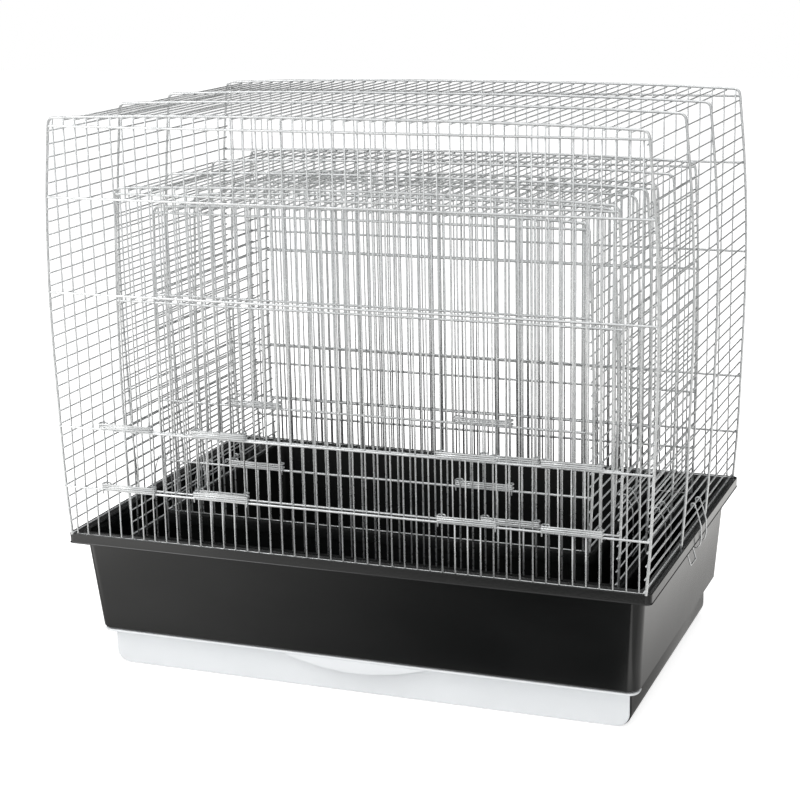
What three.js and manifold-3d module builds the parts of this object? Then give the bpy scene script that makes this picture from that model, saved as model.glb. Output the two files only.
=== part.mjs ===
// Canary breeding cage: a black plastic tub with a white drawer, one large barrel-sided wire top
// standing on its rim, and two smaller cages of the same build nested inside it.
// Millimetres, +Z up. Origin: floor level, middle of the width and of the depth.
import * as THREE from 'three';
import { mergeVertices } from 'three/addons/utils/BufferGeometryUtils.js';
import Module from 'manifold-3d';

const wasm = await Module();
wasm.setup();

// ---------------------------------------------------------------- driving dimensions
const PITCH = 13;                 // bar pitch of every wire panel
const WIRE = 0.85;                // half thickness of the thin bars
const RAIL = 1.3;                 // half thickness of the cross rails
const HOOP = 1.4;                 // half thickness of the hoops
const GAP = 0.3;                  // clearance left between touching pieces
const SEAT = WIRE + RAIL + 0.2;   // rail centre in front of the bar centres
const BAR_IN = HOOP + GAP + WIRE; // depth-bar centre inside the hoop centre line
const SWALLOW = BAR_IN + WIRE + 0.2; // how far an end hoop reaches inwards to take the bar ends
const DEPTH_CENTRE = 200.45;      // middle of the depth, measured from the front bar plane
const CORNER_DROP = 6;            // how far the last bar of a panel stops short below the bent corner

const TUB_TOP = 153.3;            // top of the tub rim above the floor
const TUB_HALF = 310.4;           // half width of the tub rim
const RIM_DEEP = 12;              // height of the rim skirt
const RIM_WALL = 2.5;             // wall of the tub
const TUB_FLOOR = 41.3;           // underside of the tub, above the drawer

const OUTER = {
  name: 'outer',
  front: 0,
  hoops: [0, 145, 256, 403],
  rim: TUB_TOP,
  corner: 583.2,
  crown: 588.1,
  rails: [575.6, 504.7, 408.4, 268.9, 205.0],
  profile: [[153, 304.9], [205, 308.7], [268.9, 310.9], [360, 313.3], [430, 313.1],
    [504.7, 309.7], [574.2, 303.3]],
  shift: 0,
  doors: [-18, -10, 10, 18],
  latchY: 209,
  latchWire: 2,
};
const MID = {
  name: 'mid',
  front: 54,
  hoops: [54, 164, 275, 376],
  rim: 138.7,
  corner: 507.5,
  crown: 512.5,
  rails: [502.2, 391.8, 254.0, 190.0],
  profile: [[138, 264.3], [210, 266.5], [300, 267.8], [392, 267.2], [450, 265.2], [499.5, 262.4]],
  shift: 0,
  doors: [-12, 12],
  latchY: 229,
  latchWire: 2,
};
const SMALL = {
  name: 'small',
  front: 72,
  hoops: [72, 163, 254, 345],
  rim: 163.9,
  corner: 487.0,
  crown: 491.5,
  rails: [481.6, 396.5, 284.6, 219.6],
  profile: [[163, 230.4], [219.6, 233.0], [285, 234.4], [350, 233.8], [420, 231.6], [479, 229.2]],
  shift: 0.5,
  doors: [-9.5, 9.5],
  latchY: 226,
  latchWire: 1,
};

// ---------------------------------------------------------------- solid helpers
function toSolid(geometry) {
  geometry.deleteAttribute('normal');
  geometry.deleteAttribute('uv');
  const merged = mergeVertices(geometry, 1e-4);
  const vertProperties = new Float32Array(merged.attributes.position.array);
  const triVerts = new Uint32Array(merged.index.array);
  return new wasm.Manifold(new wasm.Mesh({ numProp: 3, vertProperties, triVerts }));
}

function box(x0, x1, y0, y1, z0, z1) {
  const g = new THREE.BoxGeometry(x1 - x0, y1 - y0, z1 - z0);
  g.translate((x0 + x1) / 2, (y0 + y1) / 2, (z0 + z1) / 2);
  return toSolid(g);
}

function bar(axis, a, b, p, q, half) {
  if (axis === 'z') {
    return box(p - half, p + half, q - half, q + half, a, b);
  }
  if (axis === 'y') {
    return box(p - half, p + half, a, b, q - half, q + half);
  }
  return box(a, b, p - half, p + half, q - half, q + half);
}

// Outline of a flat strip that follows a 2-D centre line, reaching `left` and `right` of it.
function bandOutline(points, left, right) {
  const normals = points.map((p, i) => {
    const a = points[Math.max(i - 1, 0)];
    const b = points[Math.min(i + 1, points.length - 1)];
    const t = new THREE.Vector2(b[0] - a[0], b[1] - a[1]).normalize();
    return [-t.y, t.x];
  });
  const one = points.map((p, i) => [p[0] + normals[i][0] * left, p[1] + normals[i][1] * left]);
  const two = points.map((p, i) => [p[0] - normals[i][0] * right, p[1] - normals[i][1] * right]);
  return one.concat(two.reverse());
}

function shapeOf(outline) {
  return new THREE.Shape(outline.map((p) => new THREE.Vector2(p[0], p[1])));
}

// Strip in the X-Z plane, thick along Y from y0 to y1.
function stripXZ(outline, y0, y1) {
  const g = new THREE.ExtrudeGeometry(shapeOf(outline), { depth: y1 - y0, bevelEnabled: false });
  g.rotateX(Math.PI / 2);
  g.translate(0, y1, 0);
  return toSolid(g);
}

// Plate in the X-Y plane, thick along Z from z0 to z1.
function plateXY(outline, z0, z1) {
  const g = new THREE.ExtrudeGeometry(shapeOf(outline), { depth: z1 - z0, bevelEnabled: false });
  g.translate(0, 0, z0);
  return toSolid(g);
}

function roundedRect(hx, y0, y1, r, n) {
  const out = [];
  const corners = [[hx - r, y0 + r, -90], [hx - r, y1 - r, 0], [r - hx, y1 - r, 90], [r - hx, y0 + r, 180]];
  for (const [cx, cy, start] of corners) {
    for (let i = 0; i <= n; i += 1) {
      const a = THREE.MathUtils.degToRad(start + (90 * i) / n);
      out.push([cx + r * Math.cos(a), cy + r * Math.sin(a)]);
    }
  }
  return out;
}

// Closed solid through a stack of rounded rectangles, each [z, halfX, y0, y1, radius].
function loft(levels, n = 4) {
  const rings = levels.map(([z, hx, y0, y1, r]) => roundedRect(hx, y0, y1, r, n).map((p) => [p[0], p[1], z]));
  const count = rings[0].length;
  const positions = rings.flat().flat();
  const index = [];
  for (let k = 0; k + 1 < rings.length; k += 1) {
    for (let i = 0; i < count; i += 1) {
      const a = k * count + i;
      const b = k * count + ((i + 1) % count);
      index.push(a, b, b + count, a, b + count, a + count);
    }
  }
  const cap = (ring) => THREE.ShapeUtils.triangulateShape(ring.map((p) => new THREE.Vector2(p[0], p[1])), []);
  for (const f of cap(rings[0])) {
    index.push(f[2], f[1], f[0]);
  }
  const top = (rings.length - 1) * count;
  for (const f of cap(rings[rings.length - 1])) {
    index.push(top + f[0], top + f[1], top + f[2]);
  }
  const g = new THREE.BufferGeometry();
  g.setAttribute('position', new THREE.Float32BufferAttribute(positions, 3));
  g.setIndex(index);
  return toSolid(g);
}

function joinAll(solids) {
  return wasm.Manifold.union(solids);
}

// ---------------------------------------------------------------- node assembly
const part = new THREE.Group();
part.name = 'canary_breeding_cage';

function addNode(name, solid, look) {
  const mesh = solid.getMesh();
  const positions = [];
  for (let i = 0; i < mesh.vertProperties.length; i += mesh.numProp) {
    const [x, y, z] = mesh.vertProperties.slice(i, i + 3);
    positions.push(x, y - DEPTH_CENTRE, z);
  }
  const g = new THREE.BufferGeometry();
  g.setAttribute('position', new THREE.Float32BufferAttribute(positions, 3));
  g.setIndex(Array.from(mesh.triVerts));
  g.computeVertexNormals();
  const node = new THREE.Mesh(g, new THREE.MeshStandardMaterial(look));
  node.name = name;
  part.add(node);
}

const ZINC = { color: 0xc9ccce, metalness: 0.9, roughness: 0.35 };
const BLACK = { color: 0x151616, metalness: 0.0, roughness: 0.25 };
const WHITE = { color: 0xe6e9ea, metalness: 0.0, roughness: 0.4 };

// ---------------------------------------------------------------- wire tops
function halfWidth(cage, z) {
  const p = cage.profile;
  let i = 1;
  while (i < p.length - 1 && p[i][0] < z) {
    i += 1;
  }
  const t = (z - p[i - 1][0]) / (p[i][0] - p[i - 1][0]);
  return p[i - 1][1] + t * (p[i][1] - p[i - 1][1]);
}

// Right half of a roof hoop's centre line, from the side up round the corner to the middle.
function roofHalfLine(cage) {
  const [zSide, wSide] = cage.profile[cage.profile.length - 1];
  const w = wSide - 0.3;
  const half = [[wSide, zSide + GAP], [w, cage.corner - 5], [w - 2.2, cage.corner - 1.6], [w - 6, cage.corner]];
  for (const t of [0.8, 0.4, 0]) {
    half.push([t * w, cage.crown - (cage.crown - cage.corner) * t ** 3]);
  }
  return half;
}

// Height of the hoop centre line over the roof: flat in the middle, falling towards the corners.
function roofHeight(cage, x) {
  const line = roofHalfLine(cage);
  const ax = Math.abs(x);
  let i = 1;
  while (i < line.length - 1 && line[i][0] > ax) {
    i += 1;
  }
  const t = (ax - line[i][0]) / (line[i - 1][0] - line[i][0]);
  return line[i][1] + t * (line[i - 1][1] - line[i][1]);
}

function barPositions(cage) {
  const limit = cage.profile[cage.profile.length - 1][1] - SWALLOW - GAP - WIRE - 0.4;
  const list = [];
  for (let k = cage.shift; k * PITCH < limit - 6; k += 1) {
    list.push(k * PITCH);
  }
  list.push(limit);
  const mirrored = list.filter((x) => x > 0).map((x) => -x);
  return mirrored.reverse().concat(list);
}

// One upright panel: bars at the panel plane, rails outside them, all standing on the bottom rail.
function uprightPanel(cage, y, outward, doors) {
  const solids = [];
  const bars = barPositions(cage);
  const end = bars[bars.length - 1];
  const held = bars[bars.length - 2];
  const railY = y + outward * SEAT;
  const low = cage.rim + GAP;
  const sill = low + 2 * RAIL;
  const band = cage.rails.slice(-2);
  const inDoor = (x) => doors.some((d) => Math.abs(x - d * PITCH) < 1.5 * PITCH);
  const tie = (x, z) => {
    const inner = y + outward * 0.3;
    const outer = railY - outward * 0.5;
    solids.push(box(x - 0.6, x + 0.6, Math.min(inner, outer), Math.max(inner, outer), z - 0.6, z + 0.6));
  };
  for (const x of bars) {
    const bend = Math.abs(x) === end ? CORNER_DROP : 0;
    const top = roofHeight(cage, x) - SWALLOW - GAP - bend;
    if (inDoor(x)) {
      solids.push(bar('z', low + 1, band[1] + 0.9, x, y, WIRE));
      solids.push(bar('z', band[0] - 0.9, top, x, y, WIRE));
      tie(x, band[0]);
    } else {
      solids.push(bar('z', low + 1, top, x, y, WIRE));
    }
  }
  for (const z of cage.rails) {
    const nearBend = z > cage.corner - 8 ? CORNER_DROP : 0;
    const reach = halfWidth(cage, z) - SWALLOW - GAP - nearBend;
    solids.push(bar('x', -reach, reach, railY, z, RAIL));
    tie(-held, z);
    tie(held, z);
  }
  const reach = halfWidth(cage, low) - SWALLOW - GAP - 0.2;
  const sillOut = y + outward * (SEAT - 0.6);
  const sillIn = y - outward * (WIRE + 0.3);
  solids.push(box(-reach, reach, Math.min(sillOut, sillIn), Math.max(sillOut, sillIn), low, sill));
  return joinAll(solids);
}

// One barrel-shaped side: four hoop legs with level depth bars inside them.
function sidePanel(cage, side) {
  const solids = [];
  const low = cage.rim + GAP;
  const last = cage.profile[cage.profile.length - 1];
  const line = [[side * halfWidth(cage, low), low]];
  for (const [z, w] of cage.profile.slice(1)) {
    line.push([side * w, z]);
  }
  const inward = side > 0 ? 1 : -1;
  cage.hoops.forEach((y, i) => {
    const isEnd = i === 0 || i === cage.hoops.length - 1;
    const reachIn = isEnd ? SWALLOW : HOOP;
    const left = inward > 0 ? reachIn : HOOP;
    const right = inward > 0 ? HOOP : reachIn;
    solids.push(stripXZ(bandOutline(line, left, right), y - HOOP, y + HOOP));
  });
  const front = cage.hoops[0];
  const back = cage.hoops[cage.hoops.length - 1];
  const heights = [];
  for (let z = low + RAIL; z < last[0] - 2; z += PITCH) {
    heights.push(z);
  }
  const tied = [0, Math.floor(heights.length / 2), heights.length - 1];
  heights.forEach((z, i) => {
    const x = side * (halfWidth(cage, z) - BAR_IN);
    const isTied = tied.includes(i);
    solids.push(bar('y', front, isTied ? back : back - HOOP - GAP, x, z, WIRE));
    if (isTied) {
      for (const y of cage.hoops.slice(1, -1)) {
        const a = side * (halfWidth(cage, z) - BAR_IN);
        const b = side * halfWidth(cage, z);
        solids.push(box(Math.min(a, b), Math.max(a, b), y - 0.7, y + 0.7, z - 0.6, z + 0.6));
      }
    }
  });
  return joinAll(solids);
}

// The roof: the tops of the four hoops with their bent corners, and depth bars under them.
function roofPanel(cage) {
  const solids = [];
  const half = roofHalfLine(cage);
  const w = half[0][0];
  const line = half.concat(half.slice(0, -1).reverse().map((p) => [-p[0], p[1]]));
  cage.hoops.forEach((y, i) => {
    const isEnd = i === 0 || i === cage.hoops.length - 1;
    solids.push(stripXZ(bandOutline(line, isEnd ? SWALLOW : HOOP, HOOP), y - HOOP, y + HOOP));
  });
  const front = cage.hoops[0];
  const back = cage.hoops[cage.hoops.length - 1];
  const places = [];
  for (let x = cage.shift * PITCH; x < w - 12; x += PITCH) {
    places.push(x);
  }
  const all = places.filter((x) => x > 0).map((x) => -x).reverse().concat(places);
  const tied = [0, Math.floor(all.length / 2), all.length - 1];
  all.forEach((x, i) => {
    const z = roofHeight(cage, x) - BAR_IN;
    const isTied = tied.includes(i);
    solids.push(bar('y', front, isTied ? back : back - HOOP - GAP, x, z, WIRE));
    if (isTied) {
      for (const y of cage.hoops.slice(1, -1)) {
        solids.push(box(x - 0.6, x + 0.6, y - 0.7, y + 0.7, z, z + BAR_IN));
      }
    }
  });
  return joinAll(solids);
}

// Small sliding door: two flat folded cross wires, three bars, and end curls round the panel bars.
const DOOR_Y = 5.3;               // door plane in front of the bar plane
const STRIP = 7;                  // height of a folded cross wire
const CURL = 4;                   // how far a curl goes past the bar it holds
function feederDoor(cage, index) {
  const x0 = cage.doors[index] * PITCH;
  const [zTop, zLow] = cage.rails.slice(-2);
  const y = cage.front - DOOR_Y;
  const lowStrip = zLow + RAIL + GAP;
  const topStrip = zTop + RAIL + GAP;
  const reach = 2 * PITCH + CURL;
  const solids = [];
  for (const z of [lowStrip, topStrip]) {
    solids.push(box(x0 - reach, x0 + reach, y - WIRE, y + WIRE, z, z + STRIP));
    for (const s of [-1, 1]) {
      const hook = [[x0 + s * (reach - 0.4), y], [x0 + s * (reach - 0.4), cage.front + 2.4],
        [x0 + s * (reach - 6.5), cage.front + 2.4]];
      const outline = bandOutline(hook, 0.75, 0.75);
      solids.push(plateXY(s > 0 ? outline : outline.slice().reverse(), z + 0.4, z + 2));
    }
  }
  for (const k of [-1, 0, 1]) {
    solids.push(bar('z', lowStrip + 1, topStrip + STRIP - 1, x0 + k * PITCH, y, 0.7));
  }
  return joinAll(solids);
}

// Bent-wire latch: two eyes on a depth bar, two legs down past the rim, a cross wire at the foot.
const LATCH_HALF = 12;            // half of the distance between the two legs
// The latch turns on one of the depth bars: latchWire counts them up from the one at the rim.
function latchPivot(cage, side) {
  const z = cage.rim + GAP + RAIL + cage.latchWire * PITCH;
  return [side * (halfWidth(cage, z) - BAR_IN), z];
}
function sideLatch(cage, side) {
  const [px, pz] = latchPivot(cage, side);
  const solids = [];
  const leg = [[2.2, -0.4], [6.0, -6], [8.6, -13], [9.6, -29], [9.2, -42], [8.4, -54], [8.0, -65]];
  const path = leg.map((p) => [px + side * p[0], pz + p[1]]);
  for (const s of [-1, 1]) {
    const y = cage.latchY + s * LATCH_HALF;
    const ring = new THREE.CylinderGeometry(3, 3, 1.6, 6);
    const bore = new THREE.CylinderGeometry(1.6, 1.6, 4, 6);
    ring.translate(px, y, pz);
    bore.translate(px, y, pz);
    const outline = bandOutline(path, 0.8, 0.8);
    solids.push(stripXZ(outline, y - 0.7, y + 0.7).add(toSolid(ring)).subtract(toSolid(bore)));
  }
  const foot = path[path.length - 1];
  solids.push(bar('y', cage.latchY - LATCH_HALF, cage.latchY + LATCH_HALF, foot[0], foot[1], 0.75));
  return joinAll(solids);
}

function wireTop(cage) {
  const doors = cage.doors;
  const back = cage.hoops[cage.hoops.length - 1];
  addNode(`${cage.name}_front_net`, uprightPanel(cage, cage.front, -1, doors), ZINC);
  addNode(`${cage.name}_back_net`, uprightPanel(cage, back, 1, []), ZINC);
  addNode(`${cage.name}_left_net`, sidePanel(cage, -1), ZINC);
  addNode(`${cage.name}_right_net`, sidePanel(cage, 1), ZINC);
  addNode(`${cage.name}_roof_net`, roofPanel(cage), ZINC);
  doors.forEach((d, i) => addNode(`${cage.name}_door_${i + 1}`, feederDoor(cage, i), ZINC));
  addNode(`${cage.name}_latch_left`, sideLatch(cage, -1), ZINC);
  addNode(`${cage.name}_latch_right`, sideLatch(cage, 1), ZINC);
}

// ---------------------------------------------------------------- tub and drawer
const HOUSING_FRONT = 40;         // front edge of the drawer housing, right behind the drawer's face
function baseTub() {
  const rimLow = TUB_TOP - RIM_DEEP;
  const shell = loft([
    [TUB_FLOOR, 288.5, 27, 380, 7],
    [TUB_FLOOR + 0.7, 290.8, 25, 382, 8],
    [TUB_FLOOR + 2.4, 292.3, 23.7, 383.4, 8],
    [rimLow + 1, 298.8, 12, 396, 8],
  ]);
  const rim = loft([
    [rimLow, TUB_HALF, -1, 407.1, 7],
    [TUB_TOP - 1.2, TUB_HALF, -1, 407.1, 7],
    [TUB_TOP, TUB_HALF - 1.2, 0.2, 405.9, 6],
  ]);
  const rimHollow = loft([
    [rimLow - 1, TUB_HALF - RIM_WALL, -1 + RIM_WALL, 407.1 - RIM_WALL, 5],
    [TUB_TOP - RIM_WALL, TUB_HALF - RIM_WALL, -1 + RIM_WALL, 407.1 - RIM_WALL, 5],
  ]).subtract(loft([
    [rimLow - 2, 298.6, 12.2, 395.8, 8],
    [TUB_TOP, 299.9, 10.6, 397.4, 8],
  ]));
  const housing = loft([
    [0, 268, HOUSING_FRONT, 363, 1.5],
    [1.1, 273.4, HOUSING_FRONT, 366, 1.5],
    [4.1, 277.9, HOUSING_FRONT, 368, 1.5],
    [8.6, 280.9, HOUSING_FRONT, 369, 1.5],
    [14, 282, HOUSING_FRONT, 369, 1.5],
    [TUB_FLOOR + 1, 282, HOUSING_FRONT, 369, 1.5],
  ]);
  const inside = loft([
    [TUB_FLOOR + RIM_WALL, 285, 32, 375, 7],
    [47, 289, 27, 380.4, 8],
    [TUB_TOP + 1, 297.1, 13.2, 394.8, 8],
  ]);
  const well = loft([
    [TUB_FLOOR - 1, 247, 76, 346, 8],
    [TUB_FLOOR + 5, 247, 76, 346, 8],
  ]);
  const bay = loft([
    [RIM_WALL, 267, 20, 359, 3],
    [3.4, 271.5, 20, 362, 3],
    [6, 275.4, 20, 364.5, 3],
    [9.6, 278.4, 20, 366.3, 3],
    [14, 279.5, 20, 366.5, 3],
    [TUB_FLOOR, 279.5, 20, 366.5, 3],
  ]);
  return joinAll([shell, rim.subtract(rimHollow), housing]).subtract(joinAll([inside, well, bay]));
}

const PULL_X = -3;                // middle of the finger pull
const PULL_HALF = 78;             // half width of the finger pull
const PULL_DROP = 13;             // how far it hangs below the lip
function litterDrawer() {
  const faceY = 37;
  const lip = 38.5;
  const lipTop = TUB_FLOOR - GAP;
  const r = 13;
  const face = [[-281, lip + 1]];
  for (let i = 0; i <= 4; i += 1) {
    const a = THREE.MathUtils.degToRad(180 + 22.5 * i);
    face.push([-281 + r + r * Math.cos(a), 0.8 + r + r * Math.sin(a)]);
  }
  for (let i = 0; i <= 4; i += 1) {
    const a = THREE.MathUtils.degToRad(270 + 22.5 * i);
    face.push([281 - r + r * Math.cos(a), 0.8 + r + r * Math.sin(a)]);
  }
  face.push([281, lip + 1]);
  const flange = roundedRect(291, 24.6, 70, 12, 4).map((p) => [p[0], Math.min(p[1], 44.4)]);
  const trimmed = flange.filter((p, i) => i === 0 || p[0] !== flange[i - 1][0] || p[1] !== flange[i - 1][1]);
  const pull = [];
  const steps = 12;
  for (let i = 0; i <= steps; i += 1) {
    const t = -1 + (2 * i) / steps;
    const drop = PULL_DROP * Math.max(Math.cos((Math.PI / 2) * t), 0) ** 0.85;
    pull.push([PULL_X + PULL_HALF * t, lip + 0.4 - drop]);
  }
  pull.push([PULL_X + PULL_HALF, lip + 1]);
  pull.push([PULL_X - PULL_HALF, lip + 1]);
  const tray = loft([
    [3.2, 262, 37.6, 357, 3],
    [6, 267, 37.6, 360, 3],
    [lipTop, 269, 37.6, 362, 3],
  ]).subtract(loft([
    [5.4, 261, 42, 355.5, 3],
    [8, 265, 42, 358, 3],
    [lipTop + 4, 267, 42, 360, 3],
  ]));
  const behindFace = box(-283, 283, HOUSING_FRONT - 0.5, 50, lip - 1, lipTop + 1);
  return joinAll([
    stripXZ(face, faceY, faceY + 2.5),
    plateXY(trimmed, lip, lipTop).subtract(behindFace),
    stripXZ(pull, 25.4, 27.9),
    tray,
  ]);
}

// ---------------------------------------------------------------- nested inner trays
function innerTray(cage, rimHalf, overhang, foot) {
  const y0 = cage.front;
  const y1 = cage.hoops[cage.hoops.length - 1];
  const top = cage.rim;
  const low = top - RIM_DEEP;
  const wall = 2.2;
  const shell = loft([
    [foot, rimHalf - 22, y0 + 13, y1 - 13, 8],
    [foot + 3, rimHalf - 18, y0 + 9, y1 - 9, 9],
    [foot + 9, rimHalf - 15.5, y0 + 6.5, y1 - 6.5, 9],
    [low + 1, rimHalf - 8, y0 + 3, y1 - 3, 9],
  ]);
  const rim = loft([
    [low, rimHalf, y0 - overhang, y1 + overhang, 8],
    [top, rimHalf, y0 - overhang, y1 + overhang, 8],
  ]);
  const inside = loft([
    [foot + wall, rimHalf - 22, y0 + 13, y1 - 13, 7],
    [foot + 9, rimHalf - 17.7, y0 + 8.7, y1 - 8.7, 7],
    [top + 1, rimHalf - 9.4, y0 + 4.4, y1 - 4.4, 7],
  ]);
  return shell.add(rim).subtract(inside);
}

addNode('base_tub', baseTub(), BLACK);
addNode('litter_drawer', litterDrawer(), WHITE);
wireTop(OUTER);
addNode('mid_base', innerTray(MID, 268.5, 4.5, TUB_FLOOR + RIM_WALL + GAP), BLACK);
wireTop(MID);
addNode('small_base', innerTray(SMALL, 235, 4.5, TUB_FLOOR + RIM_WALL + 2 * GAP + 2.2), BLACK);
wireTop(SMALL);

export default part;
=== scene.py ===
import math

import bmesh
import bpy
from mathutils import Matrix, Vector


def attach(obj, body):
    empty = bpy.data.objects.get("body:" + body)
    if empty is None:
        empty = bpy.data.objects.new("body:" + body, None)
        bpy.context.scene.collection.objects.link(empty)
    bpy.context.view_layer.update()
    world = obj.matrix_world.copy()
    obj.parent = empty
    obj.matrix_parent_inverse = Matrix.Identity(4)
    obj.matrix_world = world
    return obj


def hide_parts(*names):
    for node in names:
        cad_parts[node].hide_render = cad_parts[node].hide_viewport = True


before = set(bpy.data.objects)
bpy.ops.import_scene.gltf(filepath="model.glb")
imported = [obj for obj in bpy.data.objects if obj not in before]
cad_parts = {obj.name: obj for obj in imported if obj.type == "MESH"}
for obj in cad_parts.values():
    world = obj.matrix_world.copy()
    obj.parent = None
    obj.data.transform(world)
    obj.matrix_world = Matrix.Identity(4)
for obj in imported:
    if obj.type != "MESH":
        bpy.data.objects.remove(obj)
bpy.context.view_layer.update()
bpy.ops.object.select_all(action="DESELECT")

# ---------------------------------------------------------------- camera and studio
# A long lens looks at the cage from the right of its front and a little above, over a white floor.
# The studio is bright ahead and above and dim behind. Glossy pieces see a floor that goes from pale
# at the left to dark ahead of the cage's right end, and is bright again beside the cage.
EYE = Vector((0.70607, -1.85909, 0.77304))
TURN, DIP, TILT = math.radians(21.177), math.radians(14.209), math.radians(-1.165)
bpy.ops.object.camera_add()
camera = bpy.context.object
camera.name = "camera"
camera.data.sensor_width = 36.0
camera.data.lens = 86.70
camera.data.clip_end = 50.0
aim = Matrix.Rotation(TURN, 4, "Z") @ Matrix.Rotation(math.pi / 2 - DIP, 4, "X")
aim = aim @ Matrix.Rotation(TILT, 4, "Z")
camera.matrix_world = Matrix.Translation(EYE) @ aim
bpy.context.scene.camera = camera


def span(nodes, links, value, low, high, to_low=0.0, to_high=1.0):
    """The value from low to high becomes to_low to to_high, which may be numbers or sockets."""
    node = nodes.new("ShaderNodeMapRange")
    links.new(value, node.inputs["Value"])
    ends = {"From Min": low, "From Max": high, "To Min": to_low, "To Max": to_high}
    for socket, end in ends.items():
        if isinstance(end, float):
            node.inputs[socket].default_value = end
        else:
            links.new(end, node.inputs[socket])
    return node.outputs[0]


def times(nodes, links, value, factor):
    """The value times a factor, which may be a number or a socket."""
    node = nodes.new("ShaderNodeMath")
    node.operation = "MULTIPLY"
    links.new(value, node.inputs[0])
    if isinstance(factor, float):
        node.inputs[1].default_value = factor
    else:
        links.new(factor, node.inputs[1])
    return node.outputs[0]


def between(nodes, links, share, first, second, kind="FLOAT"):
    """From the first value or colour to the second, by a share."""
    node = nodes.new("ShaderNodeMix")
    node.data_type = kind
    at_first, at_second, out = (2, 3, 0) if kind == "FLOAT" else (6, 7, 2)
    links.new(share, node.inputs[0])
    links.new(first, node.inputs[at_first])
    links.new(second, node.inputs[at_second])
    return node.outputs[out]


def shown_to(nodes, links, ray, special, usual):
    """The special shader for rays of one kind, and the usual one for all others."""
    path = nodes.new("ShaderNodeLightPath")
    node = nodes.new("ShaderNodeMixShader")
    links.new(path.outputs[ray], node.inputs[0])
    links.new(usual.outputs[0], node.inputs[1])
    links.new(special.outputs[0], node.inputs[2])
    return node.outputs[0]


FLOOR_SIZE, FLOOR_DROP = 14.0, 0.0003
bpy.ops.mesh.primitive_grid_add(
    x_subdivisions=40, y_subdivisions=40, size=FLOOR_SIZE, location=(0, 0, -FLOOR_DROP)
)
floor = bpy.context.object
floor.name = "floor"
floor_look = bpy.data.materials.new("studio_floor")
floor_look.use_nodes = True
nodes, links = floor_look.node_tree.nodes, floor_look.node_tree.links
floor_paint = nodes["Principled BSDF"]
floor_paint.inputs["Base Color"].default_value = (0.9, 0.9, 0.9, 1)
floor_paint.inputs["Roughness"].default_value = 0.9
floor_paint.inputs["Specular IOR Level"].default_value = 0.0
# The camera sees the painted floor lifted to white, with the cage's shadow left in it.
CAMERA_LIFT = 0.70
floor_rays = nodes.new("ShaderNodeLightPath")
lift = nodes.new("ShaderNodeEmission")
lift.inputs["Color"].default_value = (1, 1, 1, 1)
lift_strength = times(nodes, links, floor_rays.outputs["Is Camera Ray"], CAMERA_LIFT)
links.new(lift_strength, lift.inputs["Strength"])
lifted_paint = nodes.new("ShaderNodeAddShader")
links.new(floor_paint.outputs[0], lifted_paint.inputs[0])
links.new(lift.outputs[0], lifted_paint.inputs[1])
# Glossy pieces see the floor glow. Ahead of the cage the glow goes by the place across the floor,
# from LEFT at 0 to RIGHT at 1, as AHEAD_GLOW says. Beside the cage it goes by depth and by the
# distance from the side, and from FAR_ON onwards by the distance ahead alone.
LEFT, RIGHT = -0.55, 0.45
FAR_OFF, FAR_ON = -0.80, -1.00
BESIDE_OFF, BESIDE_ON = -0.24, -0.18
AHEAD_STRENGTH = 2.0
AHEAD_GLOW = (
    (0.0, 1.0),
    (0.07, 0.76),
    (0.15, 0.52),
    (0.35, 0.29),
    (0.55, 0.07),
    (0.66, 0.02),
    (0.81, 0.02),
    (0.84, 0.75),
    (0.88, 0.75),
    (0.90, 0.25),
    (1.0, 0.28),
)
floor_place = nodes.new("ShaderNodeTexCoord")
floor_xyz = nodes.new("ShaderNodeSeparateXYZ")
links.new(floor_place.outputs["Object"], floor_xyz.inputs[0])
floor_x, floor_y = floor_xyz.outputs["X"], floor_xyz.outputs["Y"]
steps_across = nodes.new("ShaderNodeValToRGB")
stops = steps_across.color_ramp.elements
for place, _ in AHEAD_GLOW[1:-1]:
    stops.new(place)
for stop, (_, level) in zip(stops, AHEAD_GLOW):
    stop.color = (level, level, level, 1)
links.new(span(nodes, links, floor_x, LEFT, RIGHT), steps_across.inputs[0])
near_glow = times(nodes, links, steps_across.outputs["Color"], AHEAD_STRENGTH)
far_glow = span(nodes, links, floor_y, -1.5, -0.9, 0.40, 1.6)
is_far = span(nodes, links, floor_y, FAR_OFF, FAR_ON)
ahead_glow = between(nodes, links, is_far, near_glow, far_glow)
by_depth = span(nodes, links, floor_y, -0.12, 0.45, 0.58, 0.93)
by_distance = span(nodes, links, floor_x, 0.31, 0.385, 0.64, 1.42)
side_glow = times(nodes, links, by_depth, by_distance)
is_beside = span(nodes, links, floor_y, BESIDE_OFF, BESIDE_ON)
floor_glow = between(nodes, links, is_beside, ahead_glow, side_glow)
glow = nodes.new("ShaderNodeEmission")
glow.inputs["Color"].default_value = (1.0, 0.99, 0.97, 1)
links.new(floor_glow, glow.inputs["Strength"])
floor_face = shown_to(nodes, links, "Is Glossy Ray", glow, lifted_paint)
links.new(floor_face, nodes["Material Output"].inputs["Surface"])
floor.data.materials.append(floor_look)

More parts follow.
